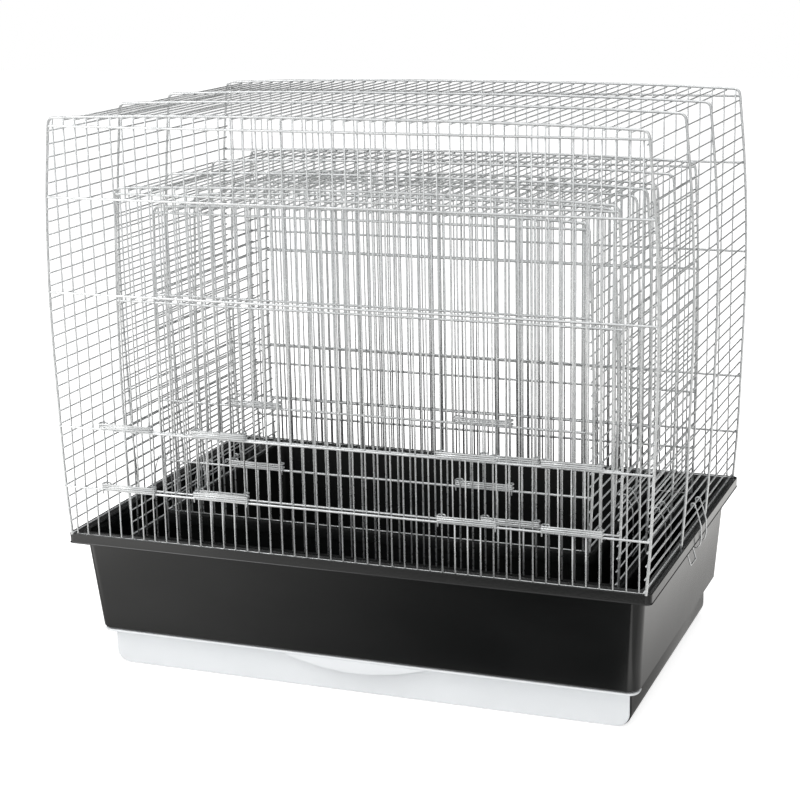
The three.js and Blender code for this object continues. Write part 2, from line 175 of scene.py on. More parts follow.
# The camera sees white behind the cage; everything else sees a room that brightens towards
# BRIGHT_WAY.
BRIGHT_WAY = (0.15, -0.90, 0.41)
world = bpy.data.worlds.new("studio")
bpy.context.scene.world = world
world.use_nodes = True
nodes, links = world.node_tree.nodes, world.node_tree.links
nodes.clear()
look_way = nodes.new("ShaderNodeTexCoord")
ahead = nodes.new("ShaderNodeVectorMath")
ahead.operation = "DOT_PRODUCT"
ahead.inputs[1].default_value = BRIGHT_WAY
links.new(look_way.outputs["Generated"], ahead.inputs[0])
room = nodes.new("ShaderNodeBackground")
room_light = span(nodes, links, ahead.outputs["Value"], -0.15, 0.80, 0.12, 1.15)
links.new(room_light, room.inputs["Strength"])
paper = nodes.new("ShaderNodeBackground")
paper.inputs["Color"].default_value = (1, 1, 1, 1)
sky_out = nodes.new("ShaderNodeOutputWorld")
links.new(shown_to(nodes, links, "Is Camera Ray", paper, room), sky_out.inputs[0])

# Two softboxes and a fill: name, place, size, power, and whether glossy pieces mirror it.
LAMP_AIM = Vector((0, 0, 0.3))
for name, place, size, power, in_gloss in (
    ("softbox_left", (-2.2, -1.6, 2.4), 1.6, 28.0, True),
    ("softbox_top", (0.5, 0.4, 3.0), 2.2, 30.0, True),
    ("fill_front", (-0.6, -3.0, 0.9), 1.8, 19.0, False),
):
    bpy.ops.object.light_add(type="AREA", location=place)
    lamp = bpy.context.object
    lamp.name = name
    lamp.data.size = size
    lamp.data.energy = power
    lamp.visible_glossy = in_gloss
    lamp.rotation_euler = (LAMP_AIM - Vector(place)).to_track_quat("-Z", "Y").to_euler()

# ---------------------------------------------------------------- black tub
# One glossy black moulding: a deep tub with sloping walls and a turned-over rim, and under it a
# narrower housing that is open at the front, where the drawer goes in.
MID_Y = -0.20045  # the front bars' plane, in metres from the middle of the whole depth
SMOOTH_UNDER = math.radians(50)


def mm(*values):
    """Pieces are sized in millimetres, with depths counted from the large cage's front bars."""
    return [v / 1000.0 for v in values]


def start_ring(name, half_x, y0, y1, z, corner, steps):
    """An upright stack starts as one flat rounded rectangle of edges, without its face."""
    bpy.ops.object.select_all(action="DESELECT")
    bpy.ops.mesh.primitive_plane_add(size=1.0, location=(0, 0, 0))
    piece = bpy.context.object
    piece.name = name
    bpy.ops.object.mode_set(mode="EDIT")
    hx, a, b = mm(half_x, y0, y1)
    bpy.ops.transform.resize(value=(2 * hx, b - a, 1))
    bpy.ops.transform.translate(value=(0, (a + b) / 2 + MID_Y, z / 1000.0))
    bpy.ops.mesh.select_mode(type="VERT")
    bpy.ops.mesh.select_all(action="SELECT")
    round_off = {"offset": corner / 1000.0, "offset_type": "OFFSET", "segments": steps}
    bpy.ops.mesh.bevel(affect="VERTICES", **round_off)
    bpy.ops.mesh.select_all(action="SELECT")
    bpy.ops.mesh.delete(type="ONLY_FACE")
    bpy.ops.mesh.select_all(action="SELECT")
    piece["ring"] = [hx, a, b]
    return piece


def fill_first_ring():
    """The first ring becomes a flat underside, and its edges stay selected for the next ring."""
    bpy.ops.mesh.edge_face_add()
    bpy.ops.mesh.select_mode(type="EDGE")


def next_ring(piece, half_x, y0, y1, z):
    """The open ring of edges is pulled on to its next size and height."""
    old_hx, old_a, old_b = piece["ring"]
    hx, a, b = mm(half_x, y0, y1)
    old_mid, mid = (old_a + old_b) / 2 + MID_Y, (a + b) / 2 + MID_Y
    bpy.ops.mesh.extrude_edges_move()
    mesh = bmesh.from_edit_mesh(piece.data)
    level = next(v.co.z for v in mesh.verts if v.select)
    bpy.ops.transform.resize(
        value=(hx / old_hx, (b - a) / (old_b - old_a), 1),
        center_override=(0, old_mid, level),
    )
    bpy.ops.transform.translate(value=(0, mid - old_mid, z / 1000.0 - level))
    piece["ring"] = [hx, a, b]


def ring_stack(name, rings, corner, steps, floored):
    """A moulding drawn through its rings, each (half width, front, back, height). It ends on its
    own first ring, or with floored in an underside and an inner floor."""
    piece = start_ring(name, *rings[0], corner, steps)
    if floored:
        fill_first_ring()
    for ring in rings[1:]:
        next_ring(piece, *ring)
    if floored:
        bpy.ops.mesh.edge_face_add()
    bpy.ops.mesh.select_all(action="SELECT")
    bpy.ops.mesh.remove_doubles(threshold=0.00002)
    bpy.ops.mesh.normals_make_consistent(inside=False)
    bpy.ops.object.mode_set(mode="OBJECT")
    del piece["ring"]
    return piece


def soften(piece, width, segments=3, angle=40.0):
    """Edges sharper than the angle get a small round, and the long faces stay smooth."""
    bpy.ops.object.select_all(action="DESELECT")
    bpy.context.view_layer.objects.active = piece
    piece.select_set(True)
    bevel = piece.modifiers.new("round", "BEVEL")
    bevel.width = width
    bevel.segments = segments
    bevel.limit_method = "ANGLE"
    bevel.angle_limit = math.radians(angle)
    bpy.ops.object.modifier_apply(modifier=bevel.name)
    bpy.ops.object.shade_smooth_by_angle(angle=SMOOTH_UNDER)


def give_wall(piece, thickness, offset):
    """A sheet gets its wall thickness: offset -1 is inwards, 0 is to both sides."""
    wall = piece.modifiers.new("wall", "SOLIDIFY")
    wall.thickness = thickness
    wall.offset = offset
    bpy.ops.object.modifier_apply(modifier=wall.name)


def join(pieces, into):
    bpy.ops.object.select_all(action="DESELECT")
    for piece in pieces:
        piece.select_set(True)
    bpy.context.view_layer.objects.active = into
    bpy.ops.object.join()


UNDERSIDE = 41.3  # the tub's floor rests on the housing at this height
SLIGHT_EDGE = 24.0  # on the tub and the bases, edges down to this angle are rounded too
tub_rings = (
    (247, 76, 346, UNDERSIDE),
    (276, 38, 369, UNDERSIDE),
    (288.5, 27, 380, 41.4),
    (290.8, 25, 382, 42.2),
    (292.2, 23.8, 383.3, 44.0),
    (298.8, 12, 396, 141.5),
    (298.8, 12, 396, 151.0),
    (297.4, 13.4, 394.6, 151.0),
    (289.6, 26.6, 380.6, 54),
    (288.8, 27.4, 379.8, 47.2),
    (284.8, 32.2, 374.8, 43.8),
    (247, 76, 346, 43.8),
    (247, 76, 346, UNDERSIDE),
)
tub = ring_stack("black_tub", tub_rings, corner=9.5, steps=12, floored=False)
soften(tub, width=0.0006, angle=SLIGHT_EDGE)

rim_rings = (
    (297.0, 13.6, 394.4, 150.4),
    (308.0, 3.4, 404.6, 150.4),
    (308.0, 3.4, 404.6, 142.5),
    (308.8, 0.7, 405.4, 142.2),
    (309.8, -0.3, 406.4, 142.2),
    (310.4, -0.9, 407.0, 142.7),
    (310.4, -0.9, 407.0, 143.0),
    (309.7, -0.2, 406.3, 143.7),
    (310.0, -0.5, 406.6, 152.4),
    (309.6, -0.1, 406.2, 153.1),
    (309.0, 0.4, 405.6, 153.3),
    (308.6, 0.8, 405.2, 152.4),
    (308.2, 1.2, 404.8, 151.8),
    (301.0, 8.4, 397.8, 151.8),
    (300.4, 9.0, 397.2, 152.6),
    (298.0, 12.6, 395.2, 152.6),
    (297.2, 13.4, 394.6, 151.6),
    (297.0, 13.6, 394.4, 150.4),
)
rim = ring_stack("tub_rim", rim_rings, corner=5.4, steps=8, floored=False)
soften(rim, width=0.0003, segments=2, angle=SLIGHT_EDGE)
join((rim, tub), tub)

# The housing's sheet turns up from a flat foot in a quarter round, and its front is left open.
FOOT_HALF, FOOT_BACK = 268, 363
ROUND_X, ROUND_BACK, ROUND_UP = 14, 6, 14
HOUSING_FRONT = 40.2
ROUND_STEPS = 8
FACES_FRONT = -0.35
housing = start_ring("drawer_housing", FOOT_HALF, HOUSING_FRONT, FOOT_BACK, 0, corner=1.5, steps=3)
fill_first_ring()
for step in range(1, ROUND_STEPS + 1):
    turn = math.radians(90.0 * step / ROUND_STEPS)
    half = FOOT_HALF + ROUND_X * math.sin(turn)
    back = FOOT_BACK + ROUND_BACK * math.sin(turn)
    next_ring(housing, half, HOUSING_FRONT, back, ROUND_UP - ROUND_UP * math.cos(turn))
next_ring(housing, FOOT_HALF + ROUND_X, HOUSING_FRONT, FOOT_BACK + ROUND_BACK, UNDERSIDE)
mesh = bmesh.from_edit_mesh(housing.data)
bpy.ops.mesh.select_mode(type="FACE")
bpy.ops.mesh.select_all(action="SELECT")
bpy.ops.mesh.normals_make_consistent(inside=False)
bpy.ops.mesh.select_all(action="DESELECT")
for f in mesh.faces:
    f.select_set(f.normal.y < FACES_FRONT)
bmesh.update_edit_mesh(housing.data)
bpy.ops.mesh.delete(type="FACE")
bpy.ops.object.mode_set(mode="OBJECT")
del housing["ring"]
give_wall(housing, thickness=0.0024, offset=-1.0)
soften(housing, width=0.0006, segments=2)


def noise(nodes, links, scale, detail, stretch=(1, 1, 1)):
    """A noise in the piece's own coordinates, stretched along one axis if asked."""
    place = nodes.new("ShaderNodeTexCoord")
    turn = nodes.new("ShaderNodeMapping")
    turn.inputs["Scale"].default_value = stretch
    links.new(place.outputs["Object"], turn.inputs["Vector"])
    grain = nodes.new("ShaderNodeTexNoise")
    grain.inputs["Scale"].default_value = scale
    grain.inputs["Detail"].default_value = detail
    links.new(turn.outputs["Vector"], grain.inputs["Vector"])
    return grain.outputs["Fac"]


def effect_group(name, colours, numbers):
    """An empty node group with its named inputs, and Colour, Roughness and Height as outputs."""
    group = bpy.data.node_groups.new(name, "ShaderNodeTree")
    face = group.interface
    for socket in colours:
        face.new_socket(socket, in_out="INPUT", socket_type="NodeSocketColor")
    for socket in numbers:
        face.new_socket(socket, in_out="INPUT", socket_type="NodeSocketFloat")
    face.new_socket("Colour", in_out="OUTPUT", socket_type="NodeSocketColor")
    face.new_socket("Roughness", in_out="OUTPUT", socket_type="NodeSocketFloat")
    face.new_socket("Height", in_out="OUTPUT", socket_type="NodeSocketFloat")
    return group, group.nodes.new("NodeGroupInput"), group.nodes.new("NodeGroupOutput")


def moulding_effect():
    """Moulded plastic: a faint flow cloud in the colour, haze in the gloss, orange peel."""
    group, given, out = effect_group(
        "moulded_plastic", ("Colour", "Haze colour"), ("Gloss low", "Gloss high", "Peel")
    )
    nodes, links = group.nodes, group.links
    cloud = noise(nodes, links, scale=9.0, detail=5.0, stretch=(1, 1, 2.5))
    haze = span(nodes, links, cloud, 0.42, 0.75)
    pair = given.outputs["Colour"], given.outputs["Haze colour"]
    links.new(between(nodes, links, haze, *pair, kind="RGBA"), out.inputs["Colour"])
    limits = given.outputs["Gloss low"], given.outputs["Gloss high"]
    gloss = span(nodes, links, noise(nodes, links, scale=24.0, detail=4.0), 0.3, 0.7, *limits)
    links.new(gloss, out.inputs["Roughness"])
    pimples = noise(nodes, links, scale=420.0, detail=2.0)
    links.new(times(nodes, links, pimples, given.outputs["Peel"]), out.inputs["Height"])
    return group


def finish_from(name, group, values, bump_strength, bump_distance):
    """A material whose colour, gloss and bump come from an effect group with its own values."""
    look = bpy.data.materials.new(name)
    look.use_nodes = True
    nodes, links = look.node_tree.nodes, look.node_tree.links
    shader = nodes["Principled BSDF"]
    effect = nodes.new("ShaderNodeGroup")
    effect.node_tree = group
    for socket, value in values.items():
        effect.inputs[socket].default_value = value
    links.new(effect.outputs["Colour"], shader.inputs["Base Color"])
    links.new(effect.outputs["Roughness"], shader.inputs["Roughness"])
    bump = nodes.new("ShaderNodeBump")
    bump.inputs["Strength"].default_value = bump_strength
    bump.inputs["Distance"].default_value = bump_distance
    links.new(effect.outputs["Height"], bump.inputs["Height"])
    links.new(bump.outputs[0], shader.inputs["Normal"])
    return look, shader


moulded_plastic = moulding_effect()


def plastic(name, colour, haze, gloss, coat=0.0, shine=0.5):
    values = {
        "Colour": colour,
        "Haze colour": haze,
        "Gloss low": gloss[0],
        "Gloss high": gloss[1],
        "Peel": 0.5,
    }
    look, shader = finish_from(
        name, moulded_plastic, values, bump_strength=0.25, bump_distance=0.0004
    )
    shader.inputs["Specular IOR Level"].default_value = shine
    shader.inputs["Coat Weight"].default_value = coat
    shader.inputs["Coat Roughness"].default_value = 0.08
    return look


ink, dust = (0.006, 0.0065, 0.0065, 1), (0.009, 0.0095, 0.0095, 1)
black_plastic = plastic("black_plastic", ink, dust, (0.17, 0.20))


def dress(piece, look, slot, body, *stands_for):
    piece.data.materials.clear()
    piece.data.materials.append(look)
    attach(piece, body)
    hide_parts(*stands_for)


dress(tub, black_plastic, "black_plastic", "base", "base_tub")
dress(housing, black_plastic, "black_plastic", "base", "base_tub")

# ---------------------------------------------------------------- white drawer
# One white moulding: a shallow litter tray behind a plain face, with a thin lip along the top and a
# curved finger pull hanging from the middle of the lip.
milk, cream = (0.82, 0.84, 0.855, 1), (0.79, 0.81, 0.825, 1)
white_plastic = plastic("white_plastic", milk, cream, (0.28, 0.40), coat=0.1)
PLATE = 0.0025


def front_plate(name, wide, deep, centre, corner):
    """A thin plate whose two corners on the -Y side are rounded."""
    bpy.ops.object.select_all(action="DESELECT")
    bpy.ops.mesh.primitive_plane_add(size=1.0, location=(0, 0, 0))
    plate = bpy.context.object
    plate.name = name
    bpy.ops.object.mode_set(mode="EDIT")
    bpy.ops.transform.resize(value=(wide, deep, 1))
    bpy.ops.transform.translate(value=centre)
    mesh = bmesh.from_edit_mesh(plate.data)
    bpy.ops.mesh.select_all(action="DESELECT")
    bpy.ops.mesh.select_mode(type="VERT")
    for v in mesh.verts:
        v.select_set(v.co.y < centre[1])
    bmesh.update_edit_mesh(plate.data)
    bpy.ops.mesh.bevel(offset=corner, segments=8, affect="VERTICES")
    bpy.ops.mesh.select_all(action="SELECT")
    bpy.ops.mesh.extrude_region_move(TRANSFORM_OT_translate={"value": (0, 0, PLATE)})
    bpy.ops.mesh.select_all(action="SELECT")
    bpy.ops.mesh.normals_make_consistent(inside=False)
    bpy.ops.object.mode_set(mode="OBJECT")
    return plate


face = front_plate("drawer_face", wide=0.562, deep=0.0378, centre=(0, 0, 0), corner=0.0135)
stand_up = Matrix.Rotation(math.pi / 2, 4, "X")
face.data.transform(Matrix.Translation((0, 0.0395 + MID_Y, 0.0197)) @ stand_up)
soften(face, width=0.0009)

# The lip is cut out at the back, between two short arms, to go round the tub's housing.
LIP_PLACE = (0, 0.0345 + MID_Y, 0.0385)
NOTCH_PLACE, NOTCH_SIZE = (0, 0.0495 + MID_Y, 0.04), (0.568, 0.02, 0.02)
lip = front_plate("drawer_lip", wide=0.582, deep=0.0198, centre=LIP_PLACE, corner=0.0118)
bpy.ops.mesh.primitive_cube_add(size=1.0, location=NOTCH_PLACE)
notch = bpy.context.object
notch.scale = NOTCH_SIZE
cut = lip.modifiers.new("notch", "BOOLEAN")
cut.object = notch
cut.operation = "DIFFERENCE"
cut.solver = "EXACT"
bpy.ops.object.select_all(action="DESELECT")
bpy.context.view_layer.objects.active = lip
lip.select_set(True)
bpy.context.view_layer.update()
bpy.ops.object.modifier_apply(modifier=cut.name)
bpy.data.objects.remove(notch, do_unlink=True)
soften(lip, width=0.0008)

# The pull hangs deepest in the middle and runs out to nothing at its ends, 3 mm left of the middle.
PULL_MID, PULL_HALF, PULL_FRONT, PULL_TOP = -0.003, 0.078, 0.0266, 0.0392
PULL_DROP, PULL_EDGE, PULL_CURL = 0.0130, 0.0004, 0.0008
bpy.ops.object.select_all(action="DESELECT")
bpy.ops.mesh.primitive_grid_add(x_subdivisions=48, y_subdivisions=4, size=1.0, location=(0, 0, 0))
pull = bpy.context.object
pull.name = "drawer_pull"
for v in pull.data.vertices:
    across = v.co.x * 2.0
    down = 0.5 - v.co.y
    arch = max(math.cos(math.pi / 2 * across), 0.0)
    drop = PULL_DROP * arch**0.85 + PULL_EDGE
    curl = PULL_CURL * math.sin(down * math.pi * 0.5) * arch
    v.co = (PULL_MID + PULL_HALF * across, PULL_FRONT - curl + MID_Y, PULL_TOP - drop * down)
give_wall(pull, thickness=0.0022, offset=0.0)
soften(pull, width=0.0007)

tray_rings = (
    (262, 39, 357, 3.2),
    (266.5, 38, 360, 5.6),
    (269, 38, 362, 41.0),
    (267, 41.8, 360, 41.0),
    (265, 41.8, 358, 7.6),
    (261, 44, 355.5, 5.4),
)
tray = ring_stack("drawer_tray", tray_rings, corner=4, steps=8, floored=True)
soften(tray, width=0.0008)
join((face, lip, pull, tray), tray)
drawer = bpy.context.object
drawer.name = "white_drawer"
dress(drawer, white_plastic, "white_plastic", "drawer", "litter_drawer")

# ---------------------------------------------------------------- black bases of the nested cages
# Each inner cage has its own black moulding with a shallow rim. The middle one stands in the tub
# and the smallest one stands in the middle one. They are duller than the tub.
dull_black = plastic("dull_black_plastic", ink, dust, (0.30, 0.42), shine=0.15)
BASE_RIM = 12


def nested_base(name, body, node, half_x, y0, y1, top, foot):
    """The rings are given as insets from the rim's outside, at the sides and at front and back."""
    low = top - BASE_RIM
    insets = (
        (22, 17.5, foot),
        (18, 13.5, foot + 3),
        (15.5, 11, foot + 9),
        (8, 7.5, low + 1),
        (8, 7.5, top - 2.4),
        (2, 2, top - 2.4),
        (2, 2, low),
        (0, 0, low),
        (0, 0, top - 1),
        (1, 1, top),
        (2.6, 2.6, top),
        (3, 3, top - 1.1),
        (6.6, 6.2, top - 1.1),
        (7, 6.6, top),
        (9.4, 8.9, top),
        (17.7, 13.2, foot + 9),
        (22, 17.5, foot + 2.2),
    )
    rings = [(half_x - in_x, y0 + in_y, y1 - in_y, z) for in_x, in_y, z in insets]
    piece = ring_stack(name, rings, corner=8, steps=6, floored=True)
    soften(piece, width=0.0006, segments=2, angle=SLIGHT_EDGE)
    dress(piece, dull_black, "black_plastic", body, node)


mid_size = {"half_x": 268.5, "y0": 49.5, "y1": 380.5, "top": 138.7, "foot": 44.3}
small_size = {"half_x": 235.0, "y0": 67.5, "y1": 349.5, "top": 163.9, "foot": 46.8}
nested_base("middle_base", "mid_tray", "mid_base", **mid_size)
nested_base("smallest_base", "small_tray", "small_base", **small_size)

# ---------------------------------------------------------------- wire fronts and backs
# Each cage has a flat front and a flat back of upright zinc-plated wires, welded at an even pitch
# to thicker level wires that lie on the outside and close round the end hoops.
PITCH = 13.0
WIRE_R, RAIL_R, HOOP_R, FOOT_R = 0.85, 1.25, 1.4, 0.55
WELD = 0.1  # welded wires sink this far into each other
CAP = 1.6  # cut bars end this far past the rail that carries them
BEND = 6.5  # the radius of the hoops' bend at the shoulders
END_BAR_IN, END_BAR_GAP = 5.15, 6  # the last bar inside the shoulder, and its least gap
BAR_LOW, BAR_SHORT = 0.4, 0.9  # bars start above the rim, and end below the hoop's middle
SIDE_WIRE_UP = 1.6  # the lowest side wire above the rim
# hoops: depths of the four hoops. rim: top of the base. corner, crown: height of the roof at its
# shoulders and in its middle. rails: heights of the level wires. side: (height, half width) up one
# barrel-shaped side. shift: the first bar's place off the middle, in pitches. doors: the doors'
# places in pitches. latch_y, latch_wire: depth of the latch, and the side wire that it hangs on.
CAGES = {
    "outer": {
        "hoops": (0, 145, 256, 403),
        "rim": 153.3,
        "corner": 583.2,
        "crown": 588.1,
        "rails": (575.6, 504.7, 408.4, 268.9, 205.0),
        "side": (
            (152, 304.9),
            (205, 308.7),
            (268.9, 310.9),
            (360, 313.3),
            (430, 313.1),
            (504.7, 309.7),
            (574.2, 303.3),
        ),
        "shift": 0.0,
        "doors": (-18, -10, 10, 18),
        "latch_y": 209,
        "latch_wire": 2,
    },
    "mid": {
        "hoops": (54, 164, 275, 376),
        "rim": 138.7,
        "corner": 507.5,
        "crown": 512.5,
        "rails": (502.2, 391.8, 254.0, 190.0),
        "side": (
            (137, 264.3),
            (210, 266.5),
            (300, 267.8),
            (392, 267.2),
            (450, 265.2),
            (499.5, 262.4),
        ),
        "shift": 0.0,
        "doors": (-12, 12),
        "latch_y": 229,
        "latch_wire": 2,
    },
    "small": {
        "hoops": (72, 163, 254, 345),
        "rim": 163.9,
        "corner": 487.0,
        "crown": 491.5,
        "rails": (481.6, 396.5, 284.6, 219.6),
        "side": (
            (162, 230.4),
            (219.6, 233.0),
            (285, 234.4),
            (350, 233.8),
            (420, 231.6),
            (479, 229.2),
        ),
        "shift": 0.5,
        "doors": (-9.5, 9.5),
        "latch_y": 226,
        "latch_wire": 1,
    },
}


def side_at(cage, z):
    """Half width of the barrel-shaped side at a height, on a smooth curve through its points."""
    rows = cage["side"]
    i = 0
    while i < len(rows) - 2 and rows[i + 1][0] < z:
        i += 1
    (z0, w0), (z1, w1) = rows[i], rows[i + 1]
    before, after = rows[max(i - 1, 0)], rows[min(i + 2, len(rows) - 1)]
    slope0 = (w1 - before[1]) / (z1 - before[0])
    slope1 = (after[1] - w0) / (after[0] - z0)
    t = (z - z0) / (z1 - z0)
    run = z1 - z0
    return (
        w0 * (2 * t**3 - 3 * t**2 + 1)
        + w1 * (3 * t**2 - 2 * t**3)
        + run * slope0 * (t**3 - 2 * t**2 + t)
        + run * slope1 * (t**3 - t**2)
    )


def shoulder(cage):
    """Half width of the straight side just below the bent corner."""
    return cage["side"][-1][1] - 0.4


def roof_at(cage, x):
    """Height of a hoop's centre line over the roof: nearly flat, with a round bend at each side."""
    wide = shoulder(cage)
    ax = abs(x)
    top = cage["crown"] - (cage["crown"] - cage["corner"]) * (ax / wide) ** 3
    over = ax - (wide - BEND)
    if over > 0:
        top -= BEND - math.sqrt(max(BEND**2 - over**2, 0.0))
    return top


def bar_places(cage):
    """The bars stand a pitch apart from the middle out, and the last one close to the end hoop."""
    last = cage["side"][-1][1] - END_BAR_IN
    half = []
    x = cage["shift"] * PITCH
    while x < last - END_BAR_GAP:
        half.append(x)
        x += PITCH
    half.append(last)
    return sorted({-x for x in half} | set(half))


BLANK = 0.01  # every straight wire is drawn out of one short blank, 1 mm in radius
bpy.ops.object.select_all(action="DESELECT")
bpy.ops.mesh.primitive_cylinder_add(
    vertices=8, radius=0.001, depth=BLANK, location=(0, 0, BLANK / 2)
)
wire_blank = bpy.context.object
wire_blank.name = "wire_blank"
bpy.ops.object.transform_apply(location=True)
bpy.ops.object.mode_set(mode="EDIT")
mesh = bmesh.from_edit_mesh(wire_blank.data)
bpy.ops.mesh.select_mode(type="EDGE")
bpy.ops.mesh.select_all(action="DESELECT")
for e in mesh.edges:
    e.select_set(abs(e.verts[0].co.z - e.verts[1].co.z) < 1e-6)
bmesh.update_edit_mesh(wire_blank.data)
bpy.ops.mesh.bevel(offset=0.0004, segments=1, affect="EDGES")
bpy.ops.object.mode_set(mode="OBJECT")
bpy.ops.object.shade_smooth_by_angle(angle=SMOOTH_UNDER)


def straight_wire(start, end, radius):
    """A copy of the blank, made as thick as asked and drawn out between two points."""
    start, end = Vector(mm(*start)), Vector(mm(*end))
    start.y += MID_Y
    end.y += MID_Y
    piece = wire_blank.copy()
    piece.data = wire_blank.data.copy()
    bpy.context.collection.objects.link(piece)
    run = end - start
    for v in piece.data.vertices:
        v.co.x *= radius
        v.co.y *= radius
        if v.co.z > BLANK / 2:
            v.co.z += run.length - BLANK
    turn = run.to_track_quat("Z", "Y").to_matrix().to_4x4()
    piece.data.transform(Matrix.Translation(start) @ turn)
    return piece


def bent_wire(points, radius, closed=False, sides=2):
    """A round wire along a line of points, as a curve with a round section made into a mesh."""
    curve = bpy.data.curves.new("bent", "CURVE")
    curve.dimensions = "3D"
    curve.bevel_depth = radius / 1000.0
    curve.bevel_resolution = sides
    curve.use_fill_caps = True
    line = curve.splines.new("POLY")
    line.points.add(len(points) - 1)
    for spot, (x, y, z) in zip(line.points, points):
        spot.co = (x / 1000.0, y / 1000.0 + MID_Y, z / 1000.0, 1.0)
    line.use_cyclic_u = closed
    piece = bpy.data.objects.new("bent", curve)
    bpy.context.collection.objects.link(piece)
    bpy.ops.object.select_all(action="DESELECT")
    bpy.context.view_layer.objects.active = piece
    piece.select_set(True)
    bpy.ops.object.convert(target="MESH")
    piece = bpy.context.object
    bpy.ops.object.shade_smooth_by_angle(angle=math.radians(60))
    return piece


def weld(name, pieces):
    """The wires of one panel become one piece."""
    join(pieces, pieces[0])
    welded = bpy.context.object
    welded.name = name
    return welded


def wire_effect():
    """Zinc plating on drawn wire: cloudy spangle in colour and gloss, small pits and marks."""
    group, given, out = effect_group(
        "zinc_plating", ("Bright", "Dull"), ("Gloss low", "Gloss high")
    )
    nodes, links = group.nodes, group.links
    spangle = noise(nodes, links, scale=90.0, detail=3.0)
    cloud = span(nodes, links, spangle, 0.38, 0.66)
    pair = given.outputs["Bright"], given.outputs["Dull"]
    links.new(between(nodes, links, cloud, *pair, kind="RGBA"), out.inputs["Colour"])
    limits = given.outputs["Gloss low"], given.outputs["Gloss high"]
    gloss = span(nodes, links, noise(nodes, links, scale=260.0, detail=2.0), 0.35, 0.65, *limits)
    links.new(gloss, out.inputs["Roughness"])
    links.new(noise(nodes, links, scale=1500.0, detail=2.0), out.inputs["Height"])
    return group


zinc = {
    "Bright": (0.82, 0.835, 0.84, 1),
    "Dull": (0.70, 0.715, 0.72, 1),
    "Gloss low": 0.24,
    "Gloss high": 0.42,
}
zinc_wire, zinc_shader = finish_from(
    "zinc_wire", wire_effect(), zinc, bump_strength=0.1, bump_distance=0.0001
)
zinc_shader.inputs["Metallic"].default_value = 0.82


def rail_line(cage, y, outward, z):
    """A level wire over the bars, whose last 3 mm at each end bend back on to the end hoop."""
    wide = side_at(cage, z)
    front = y + outward * (WIRE_R + RAIL_R - WELD)
    half = [(wide - 3.2, front), (wide - 1.6, front - outward * 0.25)]
    half += [(wide - 0.5, front - outward * 1.2), (wide - 0.3, y)]
    return [(-x, b, z) for x, b in reversed(half)] + [(x, b, z) for x, b in half]


def upright_panel(name, cage, y, outward, doors, footed=True):
    """Bars from side to side, cut short where a feeder door comes, then rails and a foot wire."""
    pieces = []
    rails = cage["rails"]
    low = cage["rim"] + BAR_LOW
    for x in bar_places(cage):
        top = roof_at(cage, x) - BAR_SHORT
        cut_for_door = any(abs(x - d * PITCH) < 1.5 * PITCH for d in doors)
        if cut_for_door:
            pieces.append(straight_wire((x, y, low), (x, y, rails[-1] + CAP), WIRE_R))
            pieces.append(straight_wire((x, y, rails[-2] - CAP), (x, y, top), WIRE_R))
        else:
            pieces.append(straight_wire((x, y, low), (x, y, top), WIRE_R))
    for z in rails:
        pieces.append(bent_wire(rail_line(cage, y, outward, z), RAIL_R))
    if footed:
        foot = cage["rim"] - 0.3
        wide = side_at(cage, foot) - 1.5
        foot_y = y - outward * 1.9
        pieces.append(straight_wire((-wide, foot_y, foot), (wide, foot_y, foot), FOOT_R))
    return weld(name, pieces)


# A thin foot wire runs behind the bars at the rim, but none is seen on the middle cage's front.
for kind, cage in CAGES.items():
    body = kind + "_top"
    front_y, back_y = cage["hoops"][0], cage["hoops"][-1]
    front = upright_panel(kind + "_front_wires", cage, front_y, -1, cage["doors"], kind != "mid")
    dress(front, zinc_wire, "zinc_wire", body, kind + "_front_net")
    back = upright_panel(kind + "_back_wires", cage, back_y, 1, ())
    dress(back, zinc_wire, "zinc_wire", body, kind + "_back_net")

# ---------------------------------------------------------------- hoops, sides and roofs
# Four thick wire hoops carry each cage: bulging sides, tight corners and a nearly flat roof. Thin
# wires run from front to back inside them, and their cut ends stand a little proud of the hoops.
ROOF_SHIFT = 2.1  # the roof wires stand this far to the right of the bars
PROUD = 2.0
SIDE_ROWS, BEND_STEPS, ROOF_STEPS = 22, 6, 12


def hoop_line(cage, y):
    """A hoop's centre line from its left foot over the roof to its right foot."""
    low = cage["rim"] - 1.1
    last = cage["side"][-1][0]
    levels = [low + (last - low) * i / SIDE_ROWS for i in range(SIDE_ROWS + 1)]
    side = [(side_at(cage, level), level) for level in levels]
    wide = shoulder(cage)
    for step in range(BEND_STEPS):
        a = math.radians(90.0 * step / BEND_STEPS)
        x = wide - BEND + BEND * math.cos(a)
        side.append((x, roof_at(cage, wide - BEND) - BEND + BEND * math.sin(a)))
    for step in range(ROOF_STEPS):
        x = (wide - BEND) * (1 - step / ROOF_STEPS)
        side.append((x, roof_at(cage, x)))
    left = [(-x, y, z) for x, z in side]
    right = [(x, y, z) for x, z in reversed(side)]
    return left + [(0, y, cage["crown"])] + right


def wire_shell(name, cage):
    """Hoops first, then the side wires from the rim up, then the roof wires."""
    pieces = [bent_wire(hoop_line(cage, y), HOOP_R) for y in cage["hoops"]]
    ends = (cage["hoops"][0] - PROUD, cage["hoops"][-1] + PROUD)
    inside = HOOP_R + WIRE_R - WELD
    z = cage["rim"] + SIDE_WIRE_UP
    while z < cage["side"][-1][0] - 2:
        wide = side_at(cage, z) - inside
        for x in (-wide, wide):
            pieces.append(straight_wire((x, ends[0], z), (x, ends[1], z), WIRE_R))
        z += PITCH
    count = int((shoulder(cage) - 12) / PITCH - cage["shift"]) + 1
    for k in range(-count - 1, count + 1):
        x = (k + cage["shift"]) * PITCH + ROOF_SHIFT
        if abs(x) > shoulder(cage) - 8:
            continue
        z = roof_at(cage, x) - inside
        pieces.append(straight_wire((x, ends[0], z), (x, ends[1], z), WIRE_R))
    return weld(name, pieces)


